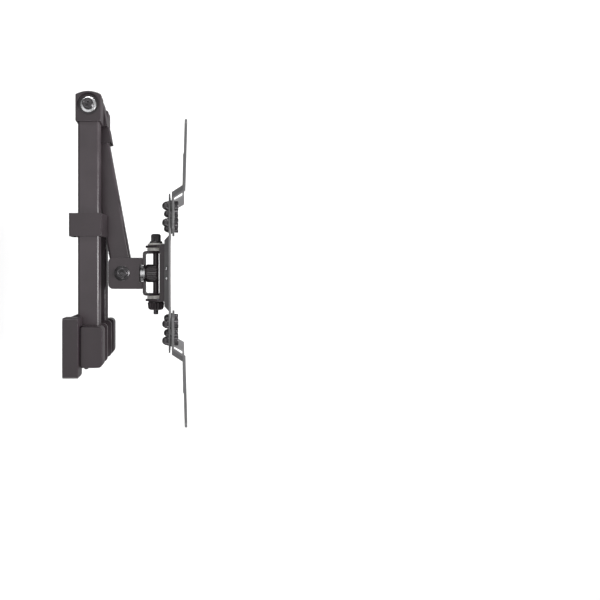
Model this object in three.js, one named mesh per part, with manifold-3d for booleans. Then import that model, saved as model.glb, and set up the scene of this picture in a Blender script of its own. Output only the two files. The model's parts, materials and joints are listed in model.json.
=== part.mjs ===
// Full motion wall mount for a flat screen: a wall bracket, a first arm of two stacked tubes, a single
// second arm that folds between them, and a head that swivels, levels and tilts the screen plate with
// its four extension arms.
//
// Millimetres. The origin is the centre of the wall plate's back face; +X points away from the wall,
// +Y runs along the wall towards the folded elbow and +Z is up. The mount is drawn folded. Left and
// right are the screen's own, so left is +Y.
import * as THREE from "three";
import { mergeVertices } from "three/addons/utils/BufferGeometryUtils.js";
import Module from "manifold-3d";

const wasm = await Module();
wasm.setup();

// ---------------------------------------------------------------- driving dimensions

const GAP = 0.3; // between two pieces that rest on each other
const OVER = 5; // how far a cutting body runs past what it cuts

const WALL_PLATE = { thickness: 3, halfWidth: 40.2, halfHeight: 87.4 };
const WALL_COVER = { depth: 22.2, halfWidth: 42.7, low: 57.6, high: 90, wall: 2.1, round: 4 };

const PIVOT_X = 30; // from the wall to both pivots of arm 1
const EAR = { halfWidth: 29.6, front: 55, thickness: 5, round: 7 };
const PIVOT_CAP = { top: 79, wall: 2.4, softness: 2.5 };
const PIN_RADIUS = 6;
const PIN_CLEARANCE = 0.2;

const TUBE = { halfWidth: 16, halfHeight: 12, wall: 2, round: 4 };
const UPPER_TUBE_Z = 39.5; // the upper tube's centre line; the lower tube mirrors it
const ARM_1_LENGTH = 356;
const ELBOW_CAP = { halfWidth: 18.8, beyond: 19.5, behind: 25.5, arcRadius: 39, low: 24.6, high: 54.5 };
const ELBOW_RECESS = { radius: 16.2, depth: 4 };
const ARM_2_CAP = { halfWidth: 19, halfHeight: 17.5 };

const SWIVEL = { x: 76.3, y: 106 }; // the head's upright axis with the mount folded
const HEAD_EAR = { back: 21.4, front: 31.7, halfWidth: 24.3, inner: 13.5, outer: 17.5, round: 7.5 };
const HEAD_WEB = { from: 23.2, to: 26.9 };

const LEVEL_COLLAR = { radius: 12.65, from: 27.2, to: 35.2 };
const TILT_AXIS = 51.7; // from the swivel axis to the tilt axis
const LEVEL_BOSS = { radius: 14.2, from: 35.5, to: 55.3 };
const TILT_BASE = { from: 32, thickness: 3.2, halfWidth: 34.6, halfHeight: 20, bend: 5 };
const TILT_EAR = { inner: 40.3, outer: 43.8, tip: -16.5, halfHeight: 24 };
const TILT_WEB = { from: 10.2, to: 13.9 };

const SCREEN_PLATE = { back: 21, front: 23.5, halfWidth: 118, halfHeight: 60, round: 9 };
const DISH = { back: 14.1, mouthHalfWidth: 57, floorHalfWidth: 50, aspect: 0.737 };
const BOLT_AT = { inner: 75, outer: 100, height: 50 };
const SCREEN_HOLE = { y: 200, z: 100 };
const EXTENSION = { thickness: 3.6, halfWidth: 13, near: 25.5, far: 42, splay: 2 };
const EXTENSION_BEND = { start: -90, jogFrom: 16, jogTo: 27, end: 130 }; // along the bar, from its outer bolt

// The clips: across is measured from the tube's middle towards the room.
const CABLE_CLIP = { y: 178, halfLength: 17, low: 24.7, high: 54.6, across: [-28.6, 19], round: 3 };
const CABLE_CLIP_CHANNEL = { upright: [27.4, 51.9], across: [-26.2, -18.6], round: 2 };
const CABLE_CLIP_FALL = { from: 5, to: 20, drop: 1.9 }; // its top falls away towards the room
const CABLE_CLIP_APRON = { top: 50, bottom: 18, inner: 17.5, outerTop: 19.6, outerBottom: 24, round: 1 };
const SMALL_CLIP = { from: 27, to: 50, across: [-17.8, 20.8], upright: [-14, 14], round: 2 };
const SMALL_CLIP_CHANNEL = { across: [17.4, 19.4], upright: [-12.2, 12.2], round: 0.9 };

const NYLON_WASHER_RADIUS = 14;
const BOLT_WASHER = { radius: 11.8, hole: 6.1 };
const NUT_RADIUS = 9.4;
const LEVEL_BOLT = { headFrom: 19.3, headRadius: 8.8, radius: 5, hole: 5.3, end: 45.5 };

// ---------------------------------------------------------------- finishes

const FINISHES = {
  blackSteel: { color: 0x3b373a, roughness: 0.45, metalness: 0.3 },
  greySteel: { color: 0x56555a, roughness: 0.5, metalness: 0.4 },
  blackPlastic: { color: 0x2f2c2f, roughness: 0.5, metalness: 0 },
  blackBolt: { color: 0x252427, roughness: 0.35, metalness: 0.7 },
  brightSteel: { color: 0xc9cbce, roughness: 0.3, metalness: 0.9 },
  paleNylon: { color: 0xd2d0cc, roughness: 0.6, metalness: 0 },
};

// ---------------------------------------------------------------- solids

const UNIT = { x: new THREE.Vector3(1, 0, 0), y: new THREE.Vector3(0, 1, 0), z: new THREE.Vector3(0, 0, 1) };
const ACROSS = { x: ["y", "z"], y: ["z", "x"], z: ["x", "y"] }; // an outline's two axes, by its depth

// A closed three.js geometry as a solid that can be joined and cut.
function solid(geometry) {
  const bare = geometry.clone();
  bare.deleteAttribute("normal");
  bare.deleteAttribute("uv");
  const merged = mergeVertices(bare, 1e-4);
  const mesh = new wasm.Mesh({
    numProp: 3,
    vertProperties: new Float32Array(merged.attributes.position.array),
    triVerts: new Uint32Array(merged.index.array),
  });
  return new wasm.Manifold(mesh);
}

// A solid as a geometry for a THREE.Mesh.
function geometryOf(body) {
  const { vertProperties, triVerts } = body.getMesh();
  const geometry = new THREE.BufferGeometry();
  geometry.setAttribute("position", new THREE.BufferAttribute(vertProperties, 3));
  geometry.setIndex(new THREE.BufferAttribute(triVerts, 1));
  geometry.computeVertexNormals();
  return geometry;
}

const cut = (body, ...tools) => tools.reduce((left, tool) => left.subtract(tool), body);
const join = (body, ...others) => others.reduce((sum, other) => sum.add(other), body);

// An outline extruded along an axis between two places, with an optional rounded edge at both ends.
function extrude(shape, axis, one, other, soft = 0) {
  const [from, to] = [Math.min(one, other), Math.max(one, other)];
  const geometry = new THREE.ExtrudeGeometry(shape, {
    depth: to - from - 2 * soft,
    bevelEnabled: soft > 0,
    bevelSize: soft,
    bevelThickness: soft,
    bevelOffset: -soft,
    bevelSegments: 2,
    curveSegments: 1,
  });
  const [first, second] = ACROSS[axis];
  const frame = new THREE.Matrix4().makeBasis(UNIT[first], UNIT[second], UNIT[axis]);
  return solid(geometry.translate(0, 0, from + soft).applyMatrix4(frame));
}

function box([x0, x1], [y0, y1], [z0, z1]) {
  const geometry = new THREE.BoxGeometry(Math.abs(x1 - x0), Math.abs(y1 - y0), Math.abs(z1 - z0));
  return solid(geometry.translate((x0 + x1) / 2, (y0 + y1) / 2, (z0 + z1) / 2));
}

// Points on an arc; angles in degrees.
function arc(cx, cy, radius, from, to, steps) {
  return Array.from({ length: steps + 1 }, (_, i) => {
    const angle = THREE.MathUtils.degToRad(from + ((to - from) * i) / steps);
    return new THREE.Vector2(cx + radius * Math.cos(angle), cy + radius * Math.sin(angle));
  });
}

const point = (x, y) => new THREE.Vector2(x, y);
const circle = (cx, cy, radius, sides = 24) =>
  new THREE.Shape(arc(cx, cy, radius, 0, 360 - 360 / sides, sides - 1));

// A rectangle with rounded corners; rounds gives the radius at the low and at the high end of the first axis.
function rectangle([low, high], [bottom, top], [lowRound, highRound], steps = 3) {
  return new THREE.Shape([
    ...arc(high - highRound, top - highRound, highRound, 0, 90, steps),
    ...arc(low + lowRound, top - lowRound, lowRound, 90, 180, steps),
    ...arc(low + lowRound, bottom + lowRound, lowRound, 180, 270, steps),
    ...arc(high - highRound, bottom + highRound, highRound, 270, 360, steps),
  ]);
}

// A slot's outline between two centres.
function slot(from, to, radius, steps = 6) {
  const turn = THREE.MathUtils.radToDeg(Math.atan2(to.y - from.y, to.x - from.x));
  return new THREE.Shape([
    ...arc(to.x, to.y, radius, turn - 90, turn + 90, steps),
    ...arc(from.x, from.y, radius, turn + 90, turn + 270, steps),
  ]);
}

// A fluted outline: its radius rises and falls around the circle.
function fluted(radius, depth, flutes) {
  const points = Array.from({ length: 2 * flutes }, (_, i) => {
    const angle = (Math.PI * i) / flutes;
    const reach = i % 2 ? radius - depth : radius;
    return point(reach * Math.cos(angle), reach * Math.sin(angle));
  });
  return new THREE.Shape(points);
}

// A round bar along an axis; centre names the two places across it.
function bar(axis, from, to, centre, radius, sides = 24) {
  const [first, second] = ACROSS[axis];
  return extrude(circle(centre[first] ?? 0, centre[second] ?? 0, radius, sides), axis, from, to);
}

// A turned body: the profile's points are [place along the axis, radius].
function turned(axis, profile, sides) {
  const points = profile.map(([along, radius]) => point(radius, along));
  const [first, second] = ACROSS[axis];
  const frame = new THREE.Matrix4().makeBasis(UNIT[second], UNIT[axis], UNIT[first]);
  return solid(new THREE.LatheGeometry(points, sides).applyMatrix4(frame));
}

// Adds one named sub-part to a group.
function add(group, name, body, finish, place = [0, 0, 0]) {
  const mesh = new THREE.Mesh(geometryOf(body), new THREE.MeshStandardMaterial(FINISHES[finish]));
  mesh.name = name;
  mesh.position.set(...place);
  group.add(mesh);
}

const SIDES = { upper: 1, lower: -1 };

// ---------------------------------------------------------------- wall bracket

const EAR_OUTER = UPPER_TUBE_Z + TUBE.halfHeight + 0.8; // inner face of the ear above the upper tube
const EAR_INNER = UPPER_TUBE_Z - TUBE.halfHeight - 0.8; // inner face of the ear below it
const EAR_TOP = EAR_OUTER + EAR.thickness;
const PIN_HEAD = { radius: 10, height: 8 };

// The room around the pivot bolt's head or nut, cut from the covers' inner walls.
function pinHeadRoom(side) {
  const [from, to] = [side * (EAR_TOP - 1), side * (EAR_TOP + PIN_HEAD.height + 1)];
  return bar("z", from, to, { x: PIVOT_X }, PIN_HEAD.radius + 0.8, 24);
}

function wallPlate() {
  const { thickness, halfWidth, halfHeight } = WALL_PLATE;
  const face = rectangle([-halfWidth, halfWidth], [-halfHeight, halfHeight], [3, 3]);
  const anchors = [-76, 76].map((z) => slot(point(-9, z), point(9, z), 4.5));
  const sideHoles = [-34, 34].map((y) => circle(y, 0, 4.5, 16));
  face.holes.push(...anchors, ...sideHoles);
  return extrude(face, "x", 0, thickness);
}

// A clevis of folded steel that holds one tube between its two ears.
function clevis(side) {
  const back = WALL_PLATE.thickness + 0.1;
  const outline = rectangle([back, EAR.front], [-EAR.halfWidth, EAR.halfWidth], [0.5, EAR.round], 5);
  const block = extrude(outline, "z", side * (EAR_INNER - EAR.thickness), side * EAR_TOP);
  const reach = EAR.halfWidth + OVER;
  const mouth = box(
    [back + EAR.thickness, EAR.front + OVER],
    [-reach, reach],
    [side * EAR_INNER, side * EAR_OUTER],
  );
  const bore = bar("z", -EAR_TOP - OVER, EAR_TOP + OVER, { x: PIVOT_X }, PIN_RADIUS + PIN_CLEARANCE, 28);
  return cut(block, mouth, bore);
}

// A snap-on cover over one end of the wall plate, open towards the wall.
function wallCover(side) {
  const { depth, halfWidth, low, high, wall, round } = WALL_COVER;
  const upright = side > 0 ? [low, high] : [-high, -low];
  const outline = rectangle([-halfWidth, halfWidth], upright, [round, round]);
  const shell = extrude(outline, "x", -OVER, depth, 1.6);
  const behind = box([-2 * OVER, 0], [-60, 60], [-100, 100]);
  const inside = WALL_PLATE.halfWidth + GAP;
  const room = box(
    [-OVER, depth - wall],
    [-inside, inside],
    [side * (low + wall), side * (WALL_PLATE.halfHeight + GAP)],
  );
  const platePath = box(
    [-OVER, WALL_PLATE.thickness + GAP],
    [-inside, inside],
    [side * (low - OVER), side * (low + wall + OVER)],
  );
  return cut(shell, behind, room, platePath, pinHeadRoom(side));
}

const CAP_SCREW = { x: PIVOT_X, z: 67, hole: 2 };

// A cap over the outer ear that hides the pivot bolt's head or nut.
function pivotCap(side) {
  const bottom = EAR_TOP + GAP;
  const { top, wall, softness } = PIVOT_CAP;
  const back = WALL_COVER.depth + GAP;
  const outline = rectangle([back, EAR.front], [-EAR.halfWidth, EAR.halfWidth], [3.2, EAR.round], 4);
  const shell = extrude(outline, "z", side * (bottom - OVER), side * top, softness);
  const below = box([0, 80], [-50, 50], [side * (bottom - 2 * OVER), side * bottom]);
  const inner = EAR.halfWidth - wall;
  const roomHeight = [side * (bottom - 1), side * (top - wall)];
  const room = box([back + wall, EAR.front - wall], [-inner, inner], roomHeight);
  const screwPlace = { x: CAP_SCREW.x, z: side * CAP_SCREW.z };
  const screwHole = bar("y", -EAR.halfWidth - OVER, 0, screwPlace, CAP_SCREW.hole, 16);
  return cut(shell, below, room, screwHole, pinHeadRoom(side));
}

function capScrew(side) {
  const head = -EAR.halfWidth - 0.2;
  const domed = [[head - 3, 0], [head - 3, 2.2], [head - 1.6, 3.2], [head, 3.2]];
  const shank = [[head, 1.7], [head + 8, 1.7], [head + 8, 0]];
  return turned("y", [...domed, ...shank], 16).translate([CAP_SCREW.x, 0, side * CAP_SCREW.z]);
}

// A pin along Z with a hexagonal head on top.
function basePivotBolt() {
  const shank = bar("z", -EAR_TOP - 8.5, EAR_TOP + 1, { x: PIVOT_X }, PIN_RADIUS, 24);
  const head = bar("z", EAR_TOP + 0.1, EAR_TOP + PIN_HEAD.height, { x: PIVOT_X }, PIN_HEAD.radius, 6);
  return join(shank, head);
}

function basePivotNut() {
  const nut = bar("z", -EAR_TOP - PIN_HEAD.height, -EAR_TOP - 0.1, { x: PIVOT_X }, PIN_HEAD.radius, 6);
  return cut(nut, bar("z", -EAR_TOP - 20, 0, { x: PIVOT_X }, PIN_RADIUS + 0.15, 24));
}

// ---------------------------------------------------------------- tubes and their ends

// The tube's outline around height z, shrunk on all sides.
function tubeSection(axis, z, shrink, round) {
  const across = [-TUBE.halfWidth + shrink, TUBE.halfWidth - shrink];
  const upright = [z - TUBE.halfHeight + shrink, z + TUBE.halfHeight - shrink];
  const [first, second] = axis === "y" ? [upright, across] : [across, upright];
  return rectangle(first, second, [round, round]);
}

// A rectangular tube along Y or X around a centre line at height z.
function tube(axis, from, to, z) {
  const outline = tubeSection(axis, z, 0, TUBE.round);
  outline.holes.push(tubeSection(axis, z, TUBE.wall, TUBE.round - TUBE.wall));
  return extrude(outline, axis, from, to);
}

// A block that fits inside the tube.
const tubeInsert = (axis, from, to, z) =>
  extrude(tubeSection(axis, z, TUBE.wall + GAP, TUBE.round - TUBE.wall), axis, from, to);

const BUSHING_RADIUS = 8.1;
const TUBE_START = -12; // the tubes of arm 1 start just behind the base pivot
const TUBE_IN_CAP = 7; // how far a tube enters an elbow cap
const BASE_NOSE_RADIUS = 20.3; // the round end of arm 1 about its base pivot

function arm1Tube(side) {
  const z = side * UPPER_TUBE_Z;
  const end = ARM_1_LENGTH - ELBOW_CAP.behind + TUBE_IN_CAP;
  const bore = bar("z", z - 20, z + 20, {}, BUSHING_RADIUS + GAP, 28);
  return cut(tube("y", TUBE_START, end, z), bore);
}

// A plug in a tube's open end, with a nose that is round about the pivot.
function basePlug(side) {
  const z = side * UPPER_TUBE_Z;
  const tall = [z - TUBE.halfHeight, z + TUBE.halfHeight];
  const nose = bar("z", tall[0], tall[1], {}, BASE_NOSE_RADIUS, 40).intersect(
    box([-TUBE.halfWidth, TUBE.halfWidth], [-30, TUBE_START - GAP], [tall[0] - 1, tall[1] + 1]),
  );
  const insert = tubeInsert("y", TUBE_START - 1, 15, z);
  return cut(join(nose, insert), bar("z", z - 20, z + 20, {}, BUSHING_RADIUS + GAP, 28));
}

function baseBushing(side) {
  const z = side * UPPER_TUBE_Z;
  const half = TUBE.halfHeight + 0.5;
  return cut(
    bar("z", z - half, z + half, {}, BUSHING_RADIUS, 28),
    bar("z", z - 20, z + 20, {}, PIN_RADIUS + PIN_CLEARANCE, 28),
  );
}

// An elbow cap's outline, looking along +Y from its pivot: square at the inner end, a shallow arc
// at the outer end.
function elbowOutline(halfWidth) {
  const { beyond, behind, arcRadius } = ELBOW_CAP;
  const middle = beyond - arcRadius;
  const lean = THREE.MathUtils.radToDeg(Math.acos(halfWidth / arcRadius));
  return new THREE.Shape([
    ...arc(halfWidth - 2, -behind + 2, 2, 270, 360, 2),
    ...arc(0, middle, arcRadius, lean, 180 - lean, 8),
    ...arc(-halfWidth + 2, -behind + 2, 2, 180, 270, 2),
  ]);
}

const ELBOW_PIN = 5.9;

// One end cap of arm 1 with the round recess for the elbow bolt's head or nut.
function elbowCap(side) {
  const { low, high, behind } = ELBOW_CAP;
  const body = extrude(elbowOutline(ELBOW_CAP.halfWidth), "z", side * low, side * high, 1.5);
  const half = TUBE.halfWidth + GAP;
  const pocket = box(
    [-half, half],
    [-behind - OVER, -behind + TUBE_IN_CAP + GAP],
    [side * (UPPER_TUBE_Z - TUBE.halfHeight - GAP), side * (UPPER_TUBE_Z + TUBE.halfHeight + GAP)],
  );
  const recessFloor = side * (high - ELBOW_RECESS.depth);
  const recess = bar("z", recessFloor, side * (high + OVER), {}, ELBOW_RECESS.radius, 32);
  const bore = bar("z", -60, 60, {}, ELBOW_PIN + PIN_CLEARANCE, 24);
  return cut(body, pocket, recess, bore);
}

const washer = (axis, from, to, radius, hole, sides = 28) =>
  cut(bar(axis, from, to, {}, radius, sides), bar(axis, from - 1, to + 1, {}, hole, 24));

// A pivot bolt along Z with a round socket head that sits on the washer at seat.
function pivotBolt(seat, tail, socketRadius) {
  const head = bar("z", seat, seat + 6, {}, 8.3, 28);
  const socket = bar("z", seat + 2, seat + 7, {}, socketRadius, 6);
  return cut(join(bar("z", tail, seat + 1, {}, ELBOW_PIN, 24), head), socket);
}

const hexNut = (from, to) => washer("z", from, to, NUT_RADIUS, ELBOW_PIN + 0.15, 6);

const boltWasher = (seat) => washer("z", seat + 0.1, seat + 2, BOLT_WASHER.radius, BOLT_WASHER.hole);

// A nylon or plastic ring between two pieces that turn on each other, above or below the middle.
function pivotRing(side, near, far, hole) {
  const [low, high] = side > 0 ? [near, far] : [-far, -near];
  return washer("z", low, high, NYLON_WASHER_RADIUS, hole);
}

// ---------------------------------------------------------------- arm 1's cable clip

// A clip that slides on the upper tube: a cable channel on the wall side and an apron on the room side
// that leans out towards its lower edge and ends above the head's ears.
function arm1CableClip() {
  const { halfLength, low, high, across, round } = CABLE_CLIP;
  const channel = CABLE_CLIP_CHANNEL;
  const fall = CABLE_CLIP_FALL;
  const lip = CABLE_CLIP_APRON;
  const along = [-halfLength, halfLength];
  const through = [-halfLength - 1, halfLength + 1];
  const body = extrude(rectangle([low, high], across, [round, round]), "y", ...along);
  const aboveFall = new THREE.Shape([
    point(high, fall.from),
    point(high + OVER, fall.from),
    point(high + OVER, fall.to),
    point(high - fall.drop, fall.to),
  ]);
  const sleeve = cut(body, extrude(aboveFall, "y", ...through));
  const apronOutline = new THREE.Shape([
    point(lip.bottom, lip.inner),
    point(lip.top, lip.inner),
    point(lip.top, lip.outerTop),
    ...arc(lip.bottom + lip.round, lip.outerBottom - lip.round, lip.round, 60, 180, 3),
  ]);
  const apron = extrude(apronOutline, "y", ...along);
  const wide = TUBE.halfWidth + GAP;
  const tubeLow = UPPER_TUBE_Z - TUBE.halfHeight - GAP;
  const tubeHigh = UPPER_TUBE_Z + TUBE.halfHeight + GAP;
  const tubePath = box([-wide, wide], through, [tubeLow, tubeHigh]);
  const channelOutline = rectangle(channel.upright, channel.across, [channel.round, channel.round]);
  return cut(join(sleeve, apron), tubePath, extrude(channelOutline, "y", ...through));
}

// ---------------------------------------------------------------- arm 2, drawn along +X from the elbow

const ARM_2_LENGTH = Math.hypot(SWIVEL.x - PIVOT_X, SWIVEL.y - ARM_1_LENGTH);
const HUB_START = ARM_2_LENGTH - 12;

function arm2Tube() {
  return tube("x", ELBOW_CAP.behind - TUBE_IN_CAP, HUB_START, 0);
}

function arm2ElbowCap() {
  const { halfWidth, halfHeight } = ARM_2_CAP;
  const outline = new THREE.Shape(elbowOutline(halfWidth).getPoints(1).map((p) => point(-p.y, p.x)));
  const body = extrude(outline, "z", -halfHeight, halfHeight, 1.5);
  const wide = TUBE.halfWidth + GAP;
  const tall = TUBE.halfHeight + GAP;
  const pocket = box([ELBOW_CAP.behind - TUBE_IN_CAP - GAP, 40], [-wide, wide], [-tall, tall]);
  return cut(body, pocket, bar("z", -30, 30, {}, ELBOW_PIN + PIN_CLEARANCE, 24));
}

const elbowBushing = (side) =>
  pivotRing(side, ARM_2_CAP.halfHeight + 0.1, ELBOW_CAP.low - GAP, ELBOW_PIN + PIN_CLEARANCE);

// The plug at arm 2's far end, whose nose turns between the head's ears.
function headHub() {
  const [across, upright] = [TUBE.halfWidth, TUBE.halfHeight].map((half) => [-half, half]);
  const section = rectangle(across, upright, [3, 3], 2);
  const block = extrude(section, "x", HUB_START + GAP, ARM_2_LENGTH);
  const nose = bar("z", -TUBE.halfHeight, TUBE.halfHeight, { x: ARM_2_LENGTH }, TUBE.halfWidth, 32).intersect(
    box([ARM_2_LENGTH - 1, ARM_2_LENGTH + 20], [-20, 20], [-20, 20]),
  );
  const insert = tubeInsert("x", HUB_START - 18, HUB_START + 1, 0);
  const bore = bar("z", -30, 30, { x: ARM_2_LENGTH }, ELBOW_PIN + PIN_CLEARANCE, 24);
  return cut(join(block, nose, insert), bore);
}

function arm2CableClip() {
  const { from, to, across, upright, round } = SMALL_CLIP;
  const channel = SMALL_CLIP_CHANNEL;
  const through = [from - 1, to + 1];
  const sleeve = extrude(rectangle(across, upright, [round, round]), "x", from, to);
  const wide = TUBE.halfWidth + GAP;
  const tall = TUBE.halfHeight + GAP;
  const tubePath = box(through, [-wide, wide], [-tall, tall]);
  const channelOutline = rectangle(channel.across, channel.upright, [channel.round, channel.round]);
  return cut(sleeve, tubePath, extrude(channelOutline, "x", ...through));
}

// ---------------------------------------------------------------- swivel head, measured from the swivel axis

function swivelBracket() {
  const { back, front, halfWidth, inner, outer, round } = HEAD_EAR;
  const outline = rectangle([-back, front], [-halfWidth, halfWidth], [round, 1], 5);
  const block = extrude(outline, "z", -outer, outer);
  const reach = [-halfWidth - OVER, halfWidth + OVER];
  const armMouth = box([-back - OVER, HEAD_WEB.from], reach, [-inner, inner]);
  const collarMouth = box([HEAD_WEB.to, front + OVER], reach, [-inner, inner]);
  const notchHalf = LEVEL_COLLAR.radius + 2 * GAP;
  const notch = box([HEAD_WEB.to, front + OVER], [-notchHalf, notchHalf], [-outer - 1, outer + 1]);
  const swivelBore = bar("z", -30, 30, {}, ELBOW_PIN + PIN_CLEARANCE, 24);
  const levelBore = bar("x", 0, 40, {}, LEVEL_BOLT.hole, 24);
  return cut(block, armMouth, collarMouth, notch, swivelBore, levelBore);
}

const swivelWasher = (side) =>
  pivotRing(side, TUBE.halfHeight + GAP, HEAD_EAR.inner - GAP, ELBOW_PIN + GAP);

function levelBolt() {
  const head = bar("x", LEVEL_BOLT.headFrom, HEAD_WEB.from - 0.2, {}, LEVEL_BOLT.headRadius, 6);
  return join(head, bar("x", HEAD_WEB.from - 1, LEVEL_BOLT.end, {}, LEVEL_BOLT.radius, 20));
}

const levelCollar = () =>
  washer("x", LEVEL_COLLAR.from, LEVEL_COLLAR.to, LEVEL_COLLAR.radius, LEVEL_BOLT.hole, 32);

// ---------------------------------------------------------------- tilt base

const SLEEVE_RADIUS = 4.6;

// A channel whose two flanges carry the tilt sleeve; its web has an open slot that sits on the collar.
function tiltBase() {
  const { from, thickness, halfWidth, halfHeight, bend } = TILT_BASE;
  const nose = 9.5;
  const reach = TILT_AXIS + nose + 1;
  const outer = rectangle([from, reach + 10], [-halfWidth, halfWidth], [bend, 1], 4);
  const innerHalf = halfWidth - thickness;
  const inner = rectangle([from + thickness, reach + 20], [-innerHalf, innerHalf], [bend - thickness, 1], 3);
  const channel = cut(extrude(outer, "z", -halfHeight, halfHeight), extrude(inner, "z", -30, 30));
  const side = new THREE.Shape([
    point(halfHeight, from - 1),
    point(halfHeight, from + 8),
    ...arc(0, TILT_AXIS, nose, 30, 150, 8),
    point(-halfHeight, from + 8),
    point(-halfHeight, from - 1),
  ]);
  const slotRadius = LEVEL_COLLAR.radius + GAP;
  const slotFloor = bar("x", 20, 40, {}, slotRadius, 32);
  const slotMouth = box([20, 40], [-slotRadius, slotRadius], [0, 30]);
  const bore = bar("y", -50, 50, { x: TILT_AXIS }, SLEEVE_RADIUS + GAP, 24);
  return cut(channel.intersect(extrude(side, "y", -50, 50)), slotFloor, slotMouth, bore);
}

// The ribbed boss on the level bolt; the tilt sleeve passes through it.
function levelBoss() {
  const body = extrude(fluted(LEVEL_BOSS.radius, 0.8, 20), "x", LEVEL_BOSS.from, LEVEL_BOSS.to);
  const threadBore = bar("x", 30, TILT_AXIS - 5.6, {}, LEVEL_BOLT.hole, 20);
  return cut(body, threadBore, bar("y", -30, 30, { x: TILT_AXIS }, SLEEVE_RADIUS + GAP, 24));
}

const tiltSleeve = () =>
  washer("y", -TILT_BASE.halfWidth + 0.2, TILT_BASE.halfWidth - 0.2, SLEEVE_RADIUS, 4.05, 24);

// ---------------------------------------------------------------- screen plate, measured from the tilt axis

const TILT_BOLT = 3.85;

// The folded bracket on the plate's back: a web with a stiffening lip above and below, and two pointed ears.
function tiltEarBracket() {
  const { inner, outer, tip, halfHeight } = TILT_EAR;
  const lip = 3.5;
  const block = box([tip, TILT_WEB.to], [-outer, outer], [-halfHeight, halfHeight]);
  const between = box([tip - 1, TILT_WEB.from], [-inner, inner], [-halfHeight + lip, halfHeight - lip]);
  const aboveLips = box([tip - 1, TILT_WEB.from - 4], [-inner, inner], [-halfHeight - 1, halfHeight + 1]);
  const side = new THREE.Shape([
    point(-halfHeight, TILT_WEB.to + 1),
    point(-halfHeight, 3),
    ...arc(0, tip + 6, 6, 215, 325, 5),
    point(halfHeight, 3),
    point(halfHeight, TILT_WEB.to + 1),
  ]);
  const bore = bar("y", -60, 60, {}, TILT_BOLT + GAP, 20);
  return cut(block.intersect(extrude(side, "y", -60, 60)), between, aboveLips, bore);
}

// A nylon pad between a flange of the tilt base and an ear; flat where it meets the web.
function earPad(side) {
  const [near, far] = [TILT_BASE.halfWidth + GAP, TILT_EAR.inner - GAP];
  const pad = bar("y", side * near, side * far, {}, 13.8, 28);
  const flat = box([TILT_WEB.from - GAP, 30], [-60, 60], [-30, 30]);
  return cut(pad, flat, bar("y", -60, 60, {}, TILT_BOLT + GAP, 20));
}

const tiltWasher = () => washer("y", TILT_EAR.outer + 0.2, TILT_EAR.outer + 3.2, 13.2, TILT_BOLT + GAP);

// The tilt bolt with its capped head at the +Y end.
function tiltBolt() {
  const seat = TILT_EAR.outer + 3.5;
  const flange = bar("y", seat, seat + 3.3, {}, 10.3, 28);
  const cap = extrude(fluted(7.8, 0.5, 14), "y", seat + 3, seat + 15);
  return join(bar("y", -64.8, seat + 1, {}, TILT_BOLT, 20), flange, cap);
}

// The clamping knob on the bolt's other end, tapering away from the ear.
function tiltKnob() {
  const seat = -TILT_EAR.outer - GAP;
  const grip = extrude(fluted(13.2, 0.9, 14), "y", seat - 13.5, seat);
  const outerEnd = [[seat - 14, 0], [seat - 14, 10.8], [seat - 9, 12.6]];
  const taper = turned("y", [...outerEnd, [seat + 1, 13.4], [seat + 1, 0]], 32);
  return cut(grip.intersect(taper), bar("y", -80, 0, {}, TILT_BOLT + 0.25, 20));
}

// A pyramid's slice along X: a rectangle that shrinks towards the wall.
function dishBody(back, front, floorHalfWidth, mouthHalfWidth) {
  const depth = front - back;
  const [mouth, floor] = [mouthHalfWidth * Math.SQRT2, floorHalfWidth * Math.SQRT2];
  const geometry = new THREE.CylinderGeometry(mouth, floor, depth, 4, 1);
  geometry.rotateY(Math.PI / 4).translate(0, back + depth / 2, 0);
  const frame = new THREE.Matrix4().makeBasis(UNIT.z, UNIT.x, UNIT.y);
  return solid(geometry.applyMatrix4(frame).scale(1, 1, DISH.aspect));
}

const BOLT_PLACES = [-BOLT_AT.outer, -BOLT_AT.inner, BOLT_AT.inner, BOLT_AT.outer].flatMap((y) =>
  [BOLT_AT.height, -BOLT_AT.height].map((z) => ({ y, z })),
);

function screenPlate() {
  const { back, front, halfWidth, halfHeight, round } = SCREEN_PLATE;
  const face = rectangle([-halfWidth, halfWidth], [-halfHeight, halfHeight], [round, round], 4);
  const sheet = extrude(face, "x", back, front);
  const slope = (DISH.mouthHalfWidth - DISH.floorHalfWidth) / (back - DISH.back);
  const thickness = front - back;
  const bowl = dishBody(DISH.back, back + 0.5, DISH.floorHalfWidth, DISH.mouthHalfWidth + slope * 0.5);
  const hollow = dishBody(
    DISH.back + thickness,
    front + 1,
    DISH.floorHalfWidth - 1,
    DISH.mouthHalfWidth - 1 + slope,
  );
  const pads = BOLT_PLACES.map(({ y, z }) => bar("x", back + 1, EXTENSION.near - 0.2, { y, z }, 8.5, 12));
  const holes = BOLT_PLACES.map(({ y, z }) => bar("x", back - 2, front + 5, { y, z }, 4.2, 10));
  const screenHoles = [-50, 50].flatMap((y) =>
    [-50, 50].map((z) => bar("x", back - 2, front + 5, { y, z }, 2.8, 8)),
  );
  const windows = [-1, 1].map((side) =>
    extrude(slot(point(side * 87.5, -28), point(side * 87.5, 28), 9), "x", back - 2, front + 5),
  );
  return cut(join(sheet, bowl, ...pads), hollow, ...holes, ...screenHoles, ...windows);
}

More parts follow.
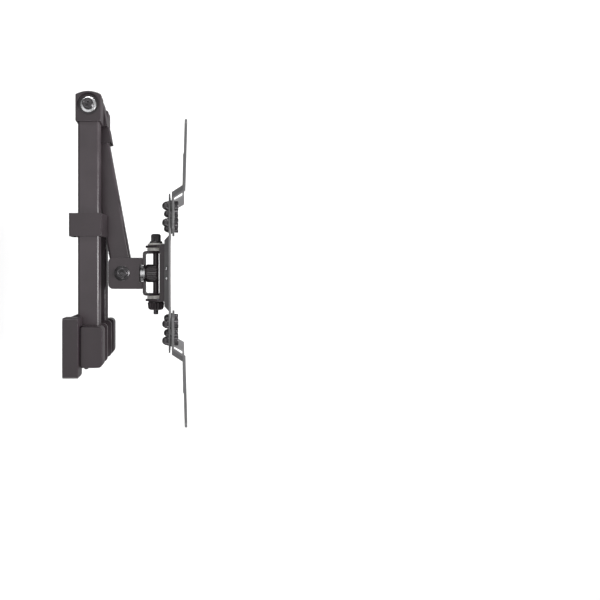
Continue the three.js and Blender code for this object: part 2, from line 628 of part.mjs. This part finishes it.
// A flat bar that is bolted to the plate, steps forward and runs out to the screen's own fixing hole.
// Its two bends lie square across the sloping outer leg.
function extensionArm(toY, toZ) {
  const { thickness, halfWidth, near, far, splay } = EXTENSION;
  const { start, jogFrom, jogTo, end } = EXTENSION_BEND;
  const inner = point(toY * BOLT_AT.inner, toZ * BOLT_AT.height);
  const knee = point(toY * BOLT_AT.outer, toZ * BOLT_AT.height);
  const tip = point(toY * SCREEN_HOLE.y, toZ * SCREEN_HOLE.z);
  const through = [near - OVER, far + 3 * OVER];
  const stroke = (from, to, radius) => extrude(slot(from, to, radius), "x", ...through);
  const hole = (at, radius) => bar("x", ...through, { y: at.x, z: at.y }, radius, 12);
  const along = (share) => point(knee.x + share * (tip.x - knee.x), knee.y + share * (tip.y - knee.y));
  const side = new THREE.Shape([
    point(near, start),
    point(near + thickness, start),
    point(near + thickness, jogFrom),
    point(far + thickness, jogTo),
    point(far + thickness + splay, end),
    point(far + splay, end),
    point(far, jogTo + 1.5),
    point(near, jogFrom + 1.5),
  ]);
  const slope = THREE.MathUtils.radToDeg(Math.atan2(tip.y - knee.y, tip.x - knee.x));
  const bent = extrude(side, "z", -100, 100).rotate([slope, 0, 0]).translate([0, knee.x, knee.y]);
  const flat = join(stroke(inner, knee, halfWidth), stroke(knee, tip, halfWidth));
  const boltHoles = [inner, knee].map((at) => hole(at, 4.2));
  const fixings = [stroke(along(0.46), along(0.68), 3.3), hole(tip, 3.3)];
  return cut(flat.intersect(bent), ...boltHoles, ...fixings);
}

// A bolt through plate and extension arm, with its domed cap nut on the wall side.
function armBolt() {
  const arm = EXTENSION.near + EXTENSION.thickness;
  const plate = SCREEN_PLATE.back - 0.2;
  const profile = [
    [plate - 9.6, 0],
    [plate - 9, 3.2],
    [plate - 6.6, 5.6],
    [plate - 2.4, 6.2],
    [plate - 2.4, 7.2],
    [plate, 7.2],
    [plate, 3.9],
    [arm + 0.2, 3.9],
    [arm + 0.2, 7],
    [arm + 5.4, 7],
    [arm + 6.4, 5.8],
    [arm + 6.4, 0],
  ];
  return turned("x", profile, 12);
}

// ---------------------------------------------------------------- assembly

const mount = new THREE.Group();

function buildWallBracket() {
  const group = new THREE.Group();
  add(group, "wall_plate", wallPlate(), "blackSteel");
  for (const [level, side] of Object.entries(SIDES)) {
    const end = side > 0 ? "top" : "bottom";
    add(group, level + "_clevis", clevis(side), "blackSteel");
    add(group, end + "_wall_cover", wallCover(side), "blackPlastic");
    add(group, end + "_pivot_cap", pivotCap(side), "blackPlastic");
    add(group, end + "_cap_screw", capScrew(side), "blackBolt");
  }
  add(group, "base_pivot_bolt", basePivotBolt(), "blackBolt");
  add(group, "base_pivot_nut", basePivotNut(), "blackBolt");
  return group;
}

// Arm 1 is drawn from its base pivot; its elbow pieces are placed at its far end.
function buildArm1() {
  const group = new THREE.Group();
  group.position.set(PIVOT_X, 0, 0);
  const elbow = [0, ARM_1_LENGTH, 0];
  for (const [level, side] of Object.entries(SIDES)) {
    add(group, "arm_1_" + level + "_tube", arm1Tube(side), "blackSteel");
    add(group, level + "_base_plug", basePlug(side), "blackPlastic");
    add(group, level + "_base_bushing", baseBushing(side), "paleNylon");
    add(group, level + "_elbow_cap", elbowCap(side), "blackPlastic", elbow);
  }
  const floor = ELBOW_CAP.high - ELBOW_RECESS.depth;
  add(group, "elbow_bolt_washer", boltWasher(floor), "brightSteel", elbow);
  add(group, "elbow_bolt", pivotBolt(floor + 2.2, -floor - 9.5, 3.2), "blackBolt", elbow);
  add(group, "elbow_nut", hexNut(-floor - 7.5, -floor - 0.1), "blackBolt", elbow);
  add(group, "arm_1_cable_clip", arm1CableClip(), "blackPlastic", [0, CABLE_CLIP.y, 0]);
  return group;
}

// Arm 2 hangs on the elbow and is turned so that its far end meets the swivel axis.
function buildArm2() {
  const group = new THREE.Group();
  group.position.set(PIVOT_X, ARM_1_LENGTH, 0);
  group.rotation.z = Math.atan2(SWIVEL.y - ARM_1_LENGTH, SWIVEL.x - PIVOT_X);
  add(group, "arm_2_tube", arm2Tube(), "blackSteel");
  add(group, "arm_2_elbow_cap", arm2ElbowCap(), "blackPlastic");
  for (const [level, side] of Object.entries(SIDES)) {
    add(group, level + "_elbow_bushing", elbowBushing(side), "blackPlastic");
  }
  add(group, "arm_2_head_hub", headHub(), "blackPlastic");
  add(group, "arm_2_cable_clip", arm2CableClip(), "blackPlastic");
  return group;
}

function buildHead() {
  const group = new THREE.Group();
  group.position.set(SWIVEL.x, SWIVEL.y, 0);
  const face = HEAD_EAR.outer;
  add(group, "swivel_bracket", swivelBracket(), "blackSteel");
  for (const [level, side] of Object.entries(SIDES)) {
    add(group, level + "_swivel_washer", swivelWasher(side), "paleNylon");
  }
  add(group, "swivel_bolt_washer", boltWasher(face), "blackBolt");
  add(group, "swivel_bolt", pivotBolt(face + 2.2, -face - 9.5, 4.4), "blackBolt");
  add(group, "swivel_nut", hexNut(-face - 7.5, -face - 0.1), "blackBolt");
  add(group, "level_bolt", levelBolt(), "blackBolt");
  add(group, "level_collar", levelCollar(), "brightSteel");
  add(group, "tilt_base", tiltBase(), "blackSteel");
  add(group, "level_boss", levelBoss(), "blackPlastic");
  add(group, "tilt_sleeve", tiltSleeve(), "blackSteel", [TILT_AXIS, 0, 0]);
  return group;
}

function buildScreenPlate() {
  const group = new THREE.Group();
  group.position.set(SWIVEL.x + TILT_AXIS, SWIVEL.y, 0);
  add(group, "screen_plate", screenPlate(), "greySteel");
  add(group, "tilt_ear_bracket", tiltEarBracket(), "blackSteel");
  add(group, "left_ear_pad", earPad(1), "paleNylon");
  add(group, "right_ear_pad", earPad(-1), "paleNylon");
  add(group, "tilt_bolt_washer", tiltWasher(), "paleNylon");
  add(group, "tilt_bolt", tiltBolt(), "blackBolt");
  add(group, "tilt_knob", tiltKnob(), "blackPlastic");
  const ways = { left: 1, right: -1 };
  for (const [level, toZ] of Object.entries(SIDES)) {
    for (const [hand, toY] of Object.entries(ways)) {
      add(group, level + "_" + hand + "_extension_arm", extensionArm(toY, toZ), "greySteel");
      for (const row of ["inner", "outer"]) {
        const place = [0, toY * BOLT_AT[row], toZ * BOLT_AT.height];
        add(group, level + "_" + hand + "_" + row + "_bolt", armBolt(), "blackBolt", place);
      }
    }
  }
  return group;
}

mount.add(buildWallBracket(), buildArm1(), buildArm2(), buildHead(), buildScreenPlate());

export default mount;
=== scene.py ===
"""Looks of the folded full motion wall mount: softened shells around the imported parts, finely turned
bolts, nuts, washers, boss and knob, and procedural finishes. Metres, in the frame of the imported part."""

import json
import math

import bmesh
import bpy
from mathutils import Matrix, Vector


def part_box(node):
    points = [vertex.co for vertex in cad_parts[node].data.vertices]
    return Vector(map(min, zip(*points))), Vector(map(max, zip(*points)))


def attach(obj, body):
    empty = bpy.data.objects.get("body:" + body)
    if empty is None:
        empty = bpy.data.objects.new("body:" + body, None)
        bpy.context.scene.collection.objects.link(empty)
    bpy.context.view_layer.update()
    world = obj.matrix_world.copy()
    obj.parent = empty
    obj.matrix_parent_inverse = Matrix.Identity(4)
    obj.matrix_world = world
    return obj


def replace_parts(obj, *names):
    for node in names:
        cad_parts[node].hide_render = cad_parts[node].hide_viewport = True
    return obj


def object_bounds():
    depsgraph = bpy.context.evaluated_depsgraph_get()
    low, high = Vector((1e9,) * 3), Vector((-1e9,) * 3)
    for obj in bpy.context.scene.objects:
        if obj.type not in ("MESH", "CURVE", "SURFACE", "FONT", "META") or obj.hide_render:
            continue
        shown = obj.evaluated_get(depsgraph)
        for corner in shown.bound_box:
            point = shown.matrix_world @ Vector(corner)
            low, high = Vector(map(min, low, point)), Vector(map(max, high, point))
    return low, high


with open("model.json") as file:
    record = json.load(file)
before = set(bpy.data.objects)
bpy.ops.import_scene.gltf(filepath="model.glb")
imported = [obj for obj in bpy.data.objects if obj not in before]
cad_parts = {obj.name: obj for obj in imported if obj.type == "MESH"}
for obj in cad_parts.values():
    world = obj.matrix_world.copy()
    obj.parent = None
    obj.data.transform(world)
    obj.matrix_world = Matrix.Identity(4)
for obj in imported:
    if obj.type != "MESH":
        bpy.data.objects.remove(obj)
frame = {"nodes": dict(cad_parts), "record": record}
cad_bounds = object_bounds()

MM = 0.001
AXES = {"x": 0, "y": 1, "z": 2}
SLOT_OF = {part["node"]: part["material_slot"] for part in frame["record"]["subparts"]}
BODIES = frame["record"]["behaviour"]["bodies"]
BODY_OF = {node: body for body, nodes in BODIES.items() for node in nodes}


# ---------------------------------------------------------------- finishes

class Finish:
    """A principled material with helpers for the nodes that every finish shares."""

    def __init__(self, name):
        self.material = bpy.data.materials.new(name)
        self.material.use_nodes = True
        self.nodes = self.material.node_tree.nodes
        self.links = self.material.node_tree.links
        self.shader = self.nodes["Principled BSDF"]
        self.place = self.nodes.new("ShaderNodeTexCoord").outputs["Object"]

    def noise(self, scale, detail=2.0, stretch=(1, 1, 1)):
        """A noise value; scale is in features per metre."""
        mapping = self.nodes.new("ShaderNodeMapping")
        mapping.inputs["Scale"].default_value = stretch
        self.links.new(self.place, mapping.inputs["Vector"])
        texture = self.nodes.new("ShaderNodeTexNoise")
        texture.inputs["Scale"].default_value = scale
        texture.inputs["Detail"].default_value = detail
        self.links.new(mapping.outputs["Vector"], texture.inputs["Vector"])
        return texture.outputs["Fac"]

    def spread(self, value, low, high, start=0.3, end=0.7):
        """Maps a noise value to a range."""
        node = self.nodes.new("ShaderNodeMapRange")
        self.links.new(value, node.inputs["Value"])
        for socket, number in zip(("From Min", "From Max", "To Min", "To Max"), (start, end, low, high)):
            node.inputs[socket].default_value = number
        return node.outputs["Result"]

    def blend(self, value, one, other):
        """A colour between two colours."""
        node = self.nodes.new("ShaderNodeMix")
        node.data_type = "RGBA"
        self.links.new(value, node.inputs["Factor"])
        for socket, colour in ((node.inputs[6], one), (node.inputs[7], other)):
            if isinstance(colour, bpy.types.NodeSocket):
                self.links.new(colour, socket)
            else:
                socket.default_value = (*colour, 1)
        return node.outputs[2]

    def bump(self, value, strength, depth, below=None):
        """A bump that can sit on another bump."""
        node = self.nodes.new("ShaderNodeBump")
        node.inputs["Strength"].default_value = strength
        node.inputs["Distance"].default_value = depth
        self.links.new(value, node.inputs["Height"])
        if below is not None:
            self.links.new(below, node.inputs["Normal"])
        return node.outputs["Normal"]

    def use(self, colour, roughness, normal, **fixed):
        self.links.new(colour, self.shader.inputs["Base Color"])
        self.links.new(roughness, self.shader.inputs["Roughness"])
        self.links.new(normal, self.shader.inputs["Normal"])
        for socket, number in fixed.items():
            self.shader.inputs[socket.replace("_", " ")].default_value = number
        return self.material


def powder_coat(name, dark, light, roughness):
    """Satin powder coat: fine orange peel, cloudy tone and a few paler specks."""
    finish = Finish(name)
    clouds = finish.noise(26, detail=5)
    specks = finish.noise(2400, detail=1)
    tone = finish.blend(finish.spread(clouds, 0, 1), dark, light)
    paler = tuple(1.9 * channel for channel in light)
    colour = finish.blend(finish.spread(specks, 0, 0.55, 0.68, 0.8), tone, paler)
    gloss = finish.spread(clouds, roughness - 0.05, roughness + 0.07)
    peel = finish.bump(finish.noise(850, detail=2), 0.35, 0.12 * MM)
    grit = finish.bump(specks, 0.25, 0.05 * MM, peel)
    return finish.use(colour, gloss, grit, Coat_Weight=0.12, Coat_Roughness=0.3)


def moulded_plastic(name, dark, light, roughness):
    """Moulded plastic with a fine spark-eroded grain and faint flow marks."""
    finish = Finish(name)
    flow = finish.noise(18, detail=3, stretch=(1, 0.4, 1))
    grain = finish.noise(1900, detail=4)
    tone = finish.blend(finish.spread(flow, 0, 1), dark, light)
    gloss = finish.spread(grain, roughness - 0.06, roughness + 0.08)
    skin = finish.bump(grain, 0.4, 0.06 * MM)
    waves = finish.bump(finish.noise(60, detail=1), 0.12, 0.2 * MM, skin)
    return finish.use(tone, gloss, waves, Specular_IOR_Level=0.5)


def plated_steel(name, dark, light, roughness, metallic, anisotropic):
    """Turned or plated steel: fine tool marks round the piece and a patchy sheen."""
    finish = Finish(name)
    marks = finish.noise(700, detail=3, stretch=(1, 1, 6))
    patches = finish.noise(90, detail=4)
    tone = finish.blend(finish.spread(patches, 0, 1), dark, light)
    gloss = finish.spread(marks, roughness - 0.05, roughness + 0.09)
    skin = finish.bump(marks, 0.3, 0.04 * MM)
    return finish.use(tone, gloss, skin, Metallic=metallic, Anisotropic=anisotropic)


def natural_nylon(name, dark, light, roughness):
    """Pale nylon, slightly waxy and clouded."""
    finish = Finish(name)
    clouds = finish.noise(120, detail=4)
    tone = finish.blend(finish.spread(clouds, 0, 1), dark, light)
    gloss = finish.spread(clouds, roughness - 0.05, roughness + 0.1)
    skin = finish.bump(finish.noise(1500, detail=2), 0.2, 0.05 * MM)
    finish.shader.inputs["Subsurface Radius"].default_value = (1.2 * MM, 1.1 * MM, 0.9 * MM)
    return finish.use(tone, gloss, skin, Subsurface_Weight=0.25, Subsurface_Scale=1.0)


FINISHES = {
    "black_steel": powder_coat("black_steel", (0.034, 0.026, 0.030), (0.046, 0.036, 0.041), 0.33),
    "grey_steel": powder_coat("grey_steel", (0.092, 0.090, 0.092), (0.122, 0.120, 0.123), 0.40),
    "black_plastic": moulded_plastic("black_plastic", (0.024, 0.018, 0.021), (0.034, 0.026, 0.030), 0.33),
    "black_bolt": plated_steel("black_bolt", (0.050, 0.047, 0.050), (0.110, 0.105, 0.110), 0.26, 0.8, 0.2),
    "bright_steel": plated_steel("bright_steel", (0.62, 0.63, 0.65), (0.83, 0.83, 0.84), 0.24, 1.0, 0.4),
    "pale_nylon": natural_nylon("pale_nylon", (0.56, 0.55, 0.52), (0.70, 0.69, 0.66), 0.48),
}


# ---------------------------------------------------------------- pieces

SMOOTH_BELOW = math.radians(38)


def put_on(piece, body, slot, edge, segments=3):
    """Rounds a piece's sharp edges, gives it its finish and lets it ride on its body."""
    piece.data.materials.clear()
    piece.data.materials.append(FINISHES[slot])
    piece.data.shade_smooth()
    bevel = piece.modifiers.new("edges", "BEVEL")
    bevel.width = edge
    bevel.segments = segments
    bevel.limit_method = "ANGLE"
    bevel.angle_limit = SMOOTH_BELOW
    bevel.miter_outer = "MITER_ARC"
    normals = piece.modifiers.new("flats", "WEIGHTED_NORMAL")
    normals.weight = 60
    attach(piece, body)
    return piece


def new_piece(name, bm):
    """An object from a bmesh, its faces pointing out."""
    bmesh.ops.recalc_face_normals(bm, faces=bm.faces)
    mesh = bpy.data.meshes.new(name)
    bm.to_mesh(mesh)
    bm.free()
    piece = bpy.data.objects.new(name, mesh)
    bpy.context.scene.collection.objects.link(piece)
    return piece


EDGE_OF = {"black_plastic": 0.8 * MM, "pale_nylon": 0.3 * MM, "black_bolt": 0.35 * MM}
SHEET_EDGE = 0.55 * MM


def softened(node):
    """A copy of a CAD node with its flat facets merged and its sharp edges rounded."""
    bm = bmesh.new()
    bm.from_mesh(frame["nodes"][node].data)
    bmesh.ops.remove_doubles(bm, verts=bm.verts, dist=0.001 * MM)
    bmesh.ops.dissolve_limit(bm, angle_limit=math.radians(0.5), verts=bm.verts, edges=bm.edges)
    piece = new_piece(node + "_shell", bm)
    slot = SLOT_OF[node]
    put_on(piece, BODY_OF[node], slot, EDGE_OF.get(slot, SHEET_EDGE))
    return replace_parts(piece, node)


def even(radius):
    """A round section."""
    return lambda angle: radius


def hexagon(corner, round_limit=1.0):
    """A six-sided section; round_limit, in metres, trims its corners to a circle."""
    def section(angle):
        off_flat = (angle % (math.pi / 3)) - math.pi / 6
        flat = corner * math.cos(math.pi / 6) / math.cos(off_flat)
        return min(flat, round_limit)
    return section


def fluted(radius, depth, flutes):
    """A section with rounded ribs."""
    return lambda angle: radius - depth * (0.5 - 0.5 * math.cos(flutes * angle)) ** 1.5


def lofted(name, axis, centre, rings, sides, ring_shaped=False):
    """A body through sections along an axis. rings are (place along the axis, section), and a closed
    body starts and ends in a point unless it is ring shaped."""
    along = AXES[axis]
    first, second = (along + 1) % 3, (along + 2) % 3
    bm = bmesh.new()
    loops = []
    for place, section in rings:
        loop = []
        for step in range(sides):
            angle = 2 * math.pi * step / sides
            corner = Vector(centre)
            corner[along] = place
            corner[first] += section(angle) * math.cos(angle)
            corner[second] += section(angle) * math.sin(angle)
            loop.append(bm.verts.new(corner))
        loops.append(loop)
    pairs = list(zip(loops, loops[1:]))
    if ring_shaped:
        pairs.append((loops[-1], loops[0]))
    else:
        bm.faces.new(loops[0])
        bm.faces.new(loops[-1])
    for low, high in pairs:
        for step in range(sides):
            after = (step + 1) % sides
            bm.faces.new((low[step], low[after], high[after], high[step]))
    return new_piece(name, bm)


def made_for(node, axis, rings, sides=72, edge=0.25 * MM, ring_shaped=False, slot=None):
    """A lofted piece that replaces a CAD node and shares its centre line."""
    low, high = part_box(node)
    piece = lofted(node + "_turned", axis, (low + high) / 2, rings, sides, ring_shaped)
    put_on(piece, BODY_OF[node], slot or SLOT_OF[node], edge, segments=2)
    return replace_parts(piece, node)


def span(node, axis):
    """Where a node starts and ends along an axis."""
    low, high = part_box(node)
    return low[AXES[axis]], high[AXES[axis]]


def reach(node, axis):
    """A node's largest half width across an axis."""
    low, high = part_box(node)
    return max(high[i] - low[i] for i in range(3) if i != AXES[axis]) / 2


def pivot_bolt(node, counterbore, socket):
    """An upright bolt with a chamfered round head, a counterbore and a hexagonal socket."""
    tail, top = span(node, "z")
    head = reach(node, "z")
    shank = 0.71 * head
    seat = top - 6 * MM
    rings = [
        (tail, even(shank - 0.8 * MM)),
        (tail + 0.9 * MM, even(shank)),
        (seat, even(shank)),
        (seat, even(head - 0.3 * MM)),
        (seat + 0.4 * MM, even(head)),
        (top - 1.2 * MM, even(head)),
        (top - 0.35 * MM, even(head - 0.6 * MM)),
        (top, even(head - 1.4 * MM)),
        (top, even(counterbore + 0.4 * MM)),
        (top - 0.7 * MM, even(counterbore)),
        (top - 0.9 * MM, hexagon(socket)),
        (top - 3.8 * MM, hexagon(socket)),
        (top - 4.4 * MM, hexagon(0.4 * socket)),
    ]
    return made_for(node, "z", rings, sides=96, edge=0.12 * MM)


def cupped_washer(node, hole):
    """A washer whose top slopes down to a low rim."""
    low, high = span(node, "z")
    outer = reach(node, "z")
    crown = outer - 2.9 * MM
    rings = [
        (low, even(hole + 0.2 * MM)),
        (low, even(outer - 0.2 * MM)),
        (low + 0.3 * MM, even(outer)),
        (low + 0.7 * MM, even(outer)),
        (low + 1.0 * MM, even(outer - 0.4 * MM)),
        (high - 0.2 * MM, even(crown + 0.4 * MM)),
        (high, even(crown)),
        (high, even(hole + 0.2 * MM)),
        (high - 0.2 * MM, even(hole)),
        (low + 0.2 * MM, even(hole)),
    ]
    return made_for(node, "z", rings, sides=96, edge=0.08 * MM, ring_shaped=True)


def chamfered_ring(node, axis, hole, chamfer, groove=0.0):
    """A washer, collar or sleeve with chamfered edges and, if asked, a shallow groove round it."""
    low, high = span(node, axis)
    outer = reach(node, axis)
    middle = (low + high) / 2
    half_groove = 0.12 * (high - low)
    rings = [
        (low, even(hole + chamfer)),
        (low, even(outer - chamfer)),
        (low + chamfer, even(outer)),
        (middle - half_groove, even(outer)),
        (middle - 0.6 * half_groove, even(outer - groove)),
        (middle + 0.6 * half_groove, even(outer - groove)),
        (middle + half_groove, even(outer)),
        (high - chamfer, even(outer)),
        (high, even(outer - chamfer)),
        (high, even(hole + chamfer)),
        (high - chamfer, even(hole)),
        (low + chamfer, even(hole)),
    ]
    return made_for(node, axis, rings, sides=96, edge=0.05 * MM, ring_shaped=True)


def hex_nut(node, hole):
    """A nut with its corners turned down at both faces."""
    low, high = span(node, "z")
    corner = reach(node, "z")
    rings = [
        (low, even(hole + 0.6 * MM)),
        (low, hexagon(corner, 0.9 * corner)),
        (low + 1.1 * MM, hexagon(corner, corner)),
        (high - 1.1 * MM, hexagon(corner, corner)),
        (high, hexagon(corner, 0.9 * corner)),
        (high, even(hole + 0.6 * MM)),
        (high - 0.6 * MM, even(hole)),
        (low + 0.6 * MM, even(hole)),
    ]
    return made_for(node, "z", rings, sides=96, edge=0.12 * MM, ring_shaped=True)


def cap_screw(node):
    """A small domed screw with a hexagonal socket, looking along -Y."""
    outer, inner = span(node, "y")
    head = reach(node, "y")
    rings = [
        (outer + 1.6 * MM, hexagon(0.25 * head)),
        (outer + 1.6 * MM, hexagon(0.5 * head)),
        (outer + 0.1 * MM, hexagon(0.5 * head)),
        (outer, even(0.68 * head)),
        (outer + 0.5 * MM, even(0.86 * head)),
        (outer + 1.4 * MM, even(0.98 * head)),
        (outer + 3 * MM, even(head)),
        (outer + 3 * MM, even(0.53 * head)),
        (inner - 0.6 * MM, even(0.53 * head)),
        (inner, even(0.4 * head)),
    ]
    return made_for(node, "y", rings, sides=48, edge=0.08 * MM)


def level_boss(node):
    """The boss behind the collar: rounded ribs between two smooth shoulders."""
    low, high = span(node, "x")
    outer = reach(node, "x")
    core = outer - 1.1 * MM
    ribs = fluted(outer, 0.9 * MM, 20)
    rings = [
        (low, even(0.5 * outer)),
        (low, even(core - 0.6 * MM)),
        (low + 0.7 * MM, even(core)),
        (low + 1.6 * MM, even(core)),
        (low + 2.4 * MM, ribs),
        (high - 2.6 * MM, ribs),
        (high - 1.6 * MM, even(core)),
        (high - 0.7 * MM, even(core)),
        (high, even(core - 0.9 * MM)),
        (high, even(0.45 * outer)),
    ]
    return made_for(node, "x", rings, sides=160, edge=0.1 * MM)


def tilt_bolt(node):
    """The cross bolt: a plain shank, a flange, and a ribbed cap with a domed end."""
    tail, end = span(node, "y")
    flange = reach(node, "y")
    shank = 3.85 * MM
    cap = 0.757 * flange
    seat = end - 15 * MM
    rings = [
        (tail, even(shank - 0.7 * MM)),
        (tail + 0.8 * MM, even(shank)),
        (seat, even(shank)),
        (seat, even(flange - 0.4 * MM)),
        (seat + 0.5 * MM, even(flange)),
        (seat + 2.6 * MM, even(flange)),
        (seat + 3.3 * MM, even(flange - 0.7 * MM)),
        (seat + 3.4 * MM, fluted(cap, 0.7 * MM, 16)),
        (end - 2.2 * MM, fluted(cap, 0.7 * MM, 16)),
        (end - 0.9 * MM, even(0.86 * cap)),
        (end - 0.2 * MM, even(0.7 * cap)),
        (end, even(0.35 * cap)),
    ]
    return made_for(node, "y", rings, sides=128, edge=0.12 * MM)


def tilt_knob(node):
    """The clamping knob: deep rounded flutes, a smooth collar by the ear and a dished outer face."""
    outer, inner = span(node, "y")
    wide = reach(node, "y")
    hole = 4.15 * MM
    rings = [
        (inner, even(hole + 0.4 * MM)),
        (inner, even(0.86 * wide)),
        (inner - 0.8 * MM, even(0.92 * wide)),
        (inner - 1.8 * MM, even(0.92 * wide)),
        (inner - 2.6 * MM, fluted(wide, 1.3 * MM, 14)),
        (outer + 4.2 * MM, fluted(0.955 * wide, 1.4 * MM, 14)),
        (outer + 1.4 * MM, fluted(0.88 * wide, 1.2 * MM, 14)),
        (outer + 0.3 * MM, even(0.74 * wide)),
        (outer, even(0.66 * wide)),
        (outer + 0.9 * MM, even(0.52 * wide)),
        (outer + 0.9 * MM, even(hole + 0.4 * MM)),
        (outer + 1.4 * MM, even(hole)),
        (inner - 0.5 * MM, even(hole)),
    ]
    return made_for(node, "y", rings, sides=168, edge=0.12 * MM, ring_shaped=True)


def arm_bolt(node):
    """A bolt through plate and arm: a domed cap nut on the wall side and a socket head in front."""
    back, front = span(node, "x")
    flange = reach(node, "x")
    shank = 3.9 * MM
    nut_seat = back + 9.6 * MM
    head_seat = front - 6.4 * MM
    hexed = hexagon(0.98 * flange, 0.93 * flange)
    rings = [
        (back, even(0.16 * flange)),
        (back + 0.35 * MM, even(0.36 * flange)),
        (back + 1.2 * MM, even(0.56 * flange)),
        (back + 2.5 * MM, even(0.7 * flange)),
        (back + 3.6 * MM, even(0.75 * flange)),
        (back + 3.7 * MM, hexagon(0.9 * flange, 0.84 * flange)),
        (nut_seat - 2.3 * MM, hexed),
        (nut_seat - 1.6 * MM, even(flange)),
        (nut_seat, even(flange)),
        (nut_seat, even(shank)),
        (head_seat, even(shank)),
        (head_seat, even(0.94 * flange)),
        (head_seat + 0.4 * MM, even(0.97 * flange)),
        (front - 1.2 * MM, even(0.97 * flange)),
        (front - 0.3 * MM, even(0.88 * flange)),
        (front, even(0.76 * flange)),
        (front, even(0.48 * flange)),
        (front - 0.5 * MM, hexagon(0.46 * flange)),
        (front - 3.2 * MM, hexagon(0.46 * flange)),
    ]
    return made_for(node, "x", rings, sides=72, edge=0.1 * MM)


RIVET_INSET = 5 * MM
RIVET_HEIGHT = 41 * MM


def dish_rivets():
    """Two small bright rivets on the upper wall of the plate's dish."""
    back = span("screen_plate", "x")[0]
    middle = span("level_collar", "y")
    for number, y in enumerate((middle[0] + RIVET_INSET, middle[1] - RIVET_INSET)):
        low, high = back + 2.4 * MM, back + 4.1 * MM
        rings = [
            (low, even(0.4 * MM)),
            (low + 0.2 * MM, even(1.2 * MM)),
            (low + 0.7 * MM, even(1.7 * MM)),
            (high, even(1.8 * MM)),
        ]
        rivet = lofted(f"dish_rivet_{number + 1}", "x", (0, y, RIVET_HEIGHT), rings, 32)
        put_on(rivet, "screen_carrier", "bright_steel", 0.05 * MM, segments=2)


NUT_BORE = 6.05 * MM
WASHER_BORE = 6.1 * MM

TURNED = {
    "elbow_bolt": lambda node: pivot_bolt(node, 5.9 * MM, 3.1 * MM),
    "swivel_bolt": lambda node: pivot_bolt(node, 5.5 * MM, 4.3 * MM),
    "elbow_nut": lambda node: hex_nut(node, NUT_BORE),
    "swivel_nut": lambda node: hex_nut(node, NUT_BORE),
    "elbow_bolt_washer": lambda node: cupped_washer(node, WASHER_BORE),
    "swivel_bolt_washer": lambda node: cupped_washer(node, WASHER_BORE),
    "level_collar": lambda node: chamfered_ring(node, "x", 5.3 * MM, 0.7 * MM, groove=0.5 * MM),
    "tilt_sleeve": lambda node: chamfered_ring(node, "y", 4.05 * MM, 0.2 * MM),
    "tilt_bolt_washer": lambda node: chamfered_ring(node, "y", 4.15 * MM, 0.4 * MM),
    "top_cap_screw": cap_screw,
    "bottom_cap_screw": cap_screw,
    "level_boss": level_boss,
    "tilt_bolt": tilt_bolt,
    "tilt_knob": tilt_knob,
}
for node in SLOT_OF:
    if node in TURNED:
        TURNED[node](node)
    elif node.endswith(("_inner_bolt", "_outer_bolt")):
        arm_bolt(node)
    else:
        softened(node)
dish_rivets()


# ---------------------------------------------------------------- floor, light and camera

FLOOR_HALF = 6.0
FLOOR_HEIGHT = -0.42


def floor():
    """A wide pale floor well below the mount, with a faint mottle."""
    bm = bmesh.new()
    outline = [(-1, -1), (1, -1), (1, 1), (-1, 1)]
    bm.faces.new([bm.verts.new((FLOOR_HALF * x, FLOOR_HALF * y, FLOOR_HEIGHT)) for x, y in outline])
    plane = new_piece("floor", bm)
    finish = Finish("floor_paint")
    mottle = finish.spread(finish.noise(3, detail=3), 0, 1)
    tone = finish.blend(mottle, (0.90, 0.90, 0.90), (0.93, 0.93, 0.93))
    gloss = finish.spread(finish.noise(40, detail=2), 0.7, 0.8)
    finish.use(tone, gloss, finish.bump(finish.noise(300), 0.05, 0.1 * MM))
    plane.data.materials.append(finish.material)
    plane.visible_glossy = False


def softbox(name, place, aim, width, height, power):
    """A rectangular area light that faces a point."""
    light = bpy.data.lights.new(name, "AREA")
    light.shape = "RECTANGLE"
    light.size = width
    light.size_y = height
    light.energy = power
    lamp = bpy.data.objects.new(name, light)
    lamp.location = place
    lamp.rotation_euler = (Vector(aim) - Vector(place)).to_track_quat("-Z", "Y").to_euler()
    bpy.context.scene.collection.objects.link(lamp)


# Each softbox's offset from the mount's middle along X and Y, its height, its two sizes and its power.
SOFTBOXES = {
    "overhead": ((-0.5, 0.2), 1.6, (1.6, 1.6), 6),
    "room_side": ((1.25, 0), 0.46, (0.34, 1.8), 40),
    "elbow_side": ((0, 1.3), 0.55, (1.2, 0.22), 9),
    "base_side": ((-0.2, -1.3), 0.55, (1.2, 0.22), 9),
}
WORLD_STRENGTH = 0.30


def studio():
    """Soft light from above and a long bright box low on the room side, which lights the tube's edge."""
    low, high = cad_bounds
    middle = (low + high) / 2
    for name, (offset, light_height, size, power) in SOFTBOXES.items():
        place = (middle.x + offset[0], middle.y + offset[1], light_height)
        softbox(name, place, middle, *size, power)
    world = bpy.data.worlds.new("studio")
    world.use_nodes = True
    world.node_tree.nodes["Background"].inputs["Color"].default_value = (1, 1, 1, 1)
    world.node_tree.nodes["Background"].inputs["Strength"].default_value = WORLD_STRENGTH
    bpy.context.scene.world = world
    bpy.context.scene.view_settings.view_transform = "Standard"


CAMERA_HEIGHT = 0.800
CAMERA_LENS = 30.36
CAMERA_SHIFT = (0.205, -0.0445)


def camera():
    """A camera that looks straight down from just in front of the screen plate, level with the head."""
    data = bpy.data.cameras.new("camera")
    data.sensor_width = 36
    data.lens = CAMERA_LENS
    data.shift_x, data.shift_y = CAMERA_SHIFT
    eye = bpy.data.objects.new("camera", data)
    head_low, head_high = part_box("level_collar")
    plate_front = span("screen_plate", "x")[1]
    eye.location = (plate_front + 8 * MM, (head_low.y + head_high.y) / 2, CAMERA_HEIGHT)
    bpy.context.scene.collection.objects.link(eye)
    bpy.context.scene.camera = eye


floor()
studio()
camera()
